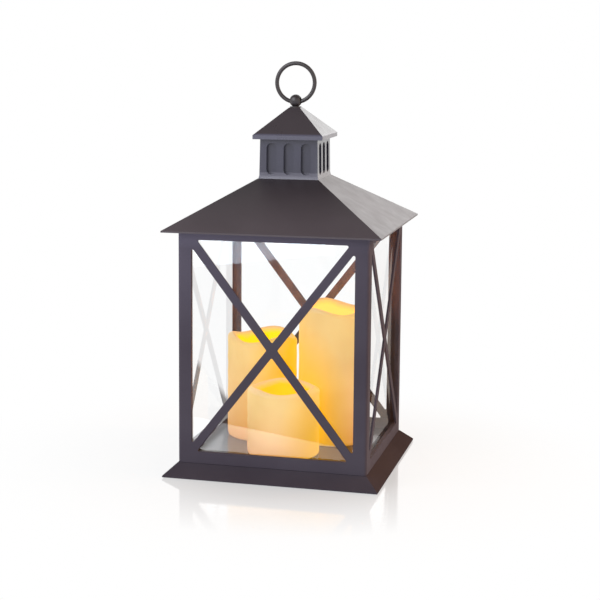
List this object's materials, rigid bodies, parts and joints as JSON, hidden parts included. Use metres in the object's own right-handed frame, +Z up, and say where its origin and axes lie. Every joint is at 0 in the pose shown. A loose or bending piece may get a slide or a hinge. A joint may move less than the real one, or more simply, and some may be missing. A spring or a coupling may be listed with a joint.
{
  "type": "led candle lantern",
  "caption": "Square lantern with glazed cross-braced sides, pyramid roof, slotted vent turret, cap roof, hanging ring and led wax candles on a deck.",
  "frame": {"origin": "middle of the base on the standing plane, at the bottom of the feet", "axes": "+Z up to the hanging ring, the front side faces -Y, the ring stands in the XZ plane"},
  "size_m": [0.2228, 0.2228, 0.4206],
  "materials": {
    "case_plastic": "moulded, with a satin dark bronze-grey coating",
    "roof_plastic": "moulded, with a satin dark bronze-brown coating",
    "cover_plastic": "fine matt grain",
    "knob_plastic": "matt",
    "foot_rubber": "matt",
    "pane_glass": "clear",
    "wax": "waxy, lit from inside, warm",
    "holder_plastic": "matt, translucent",
    "led_body": "clear amber, glowing",
    "steel": "zinc plated",
    "ring_steel": "satin dark paint",
    "contact_steel": "nickel plated",
    "cell_wrap": "plain printed wrap, no marks",
    "board": "green lacquer",
    "component": "matt black",
    "switch_metal": "tinned",
    "lead_red_black": "soft insulation"
  },
  "bodies": {
    "lantern": {"plinth": "case_plastic", "deck": "case_plastic", "bottom_cover": "cover_plastic", "battery_1": "cell_wrap", "battery_2": "cell_wrap", "battery_3": "cell_wrap", "contact_plates": "contact_steel", "contact_springs": "contact_steel", "circuit_board": "board", "board_components": "component", "switch_body": "switch_metal", "feet": "foot_rubber", "battery_leads": "lead_red_black", "led_leads": "lead_red_black", "candle_small_wax": "wax", "candle_small_holder": "holder_plastic", "candle_small_led": "led_body", "candle_medium_wax": "wax", "candle_medium_holder": "holder_plastic", "candle_medium_led": "led_body", "candle_tall_wax": "wax", "candle_tall_holder": "holder_plastic", "candle_tall_led": "led_body", "front_frame": "case_plastic", "front_pane": "pane_glass", "right_frame": "case_plastic", "right_pane": "pane_glass", "back_frame": "case_plastic", "back_pane": "pane_glass", "left_frame": "case_plastic", "left_pane": "pane_glass", "ceiling_panel": "case_plastic", "main_roof": "roof_plastic", "vent_turret": "roof_plastic", "cap_roof": "roof_plastic", "finial": "ring_steel", "finial_washer": "steel", "finial_nut": "steel", "candle_screws": "steel", "board_screws": "steel", "cover_screws": "steel", "frame_screws": "steel", "ceiling_screws": "steel", "roof_screws": "steel", "turret_screws": "steel", "cap_screws": "steel"},
    "ring": {"hang_ring": "ring_steel"},
    "battery_door": {"battery_door": "cover_plastic"},
    "switch": {"switch_knob": "knob_plastic", "switch_slider": "component"}
  },
  "joints": [
    {"name": "ring_swing", "type": "hinge", "parent": "lantern", "child": "ring", "pos_m": [0, 0, 0.3801], "axis": [1, 0, 0], "range_deg": [-128, 128]},
    {"name": "battery_door_hinge", "type": "hinge", "parent": "lantern", "child": "battery_door", "pos_m": [0, 0.0649, 0.0029], "axis": [1, 0, 0], "range_deg": [0, 90]},
    {"name": "switch_slide", "type": "slide", "parent": "lantern", "child": "switch", "axis": [1, 0, 0], "range_m": [-0.003, 0.003]}
  ]
}
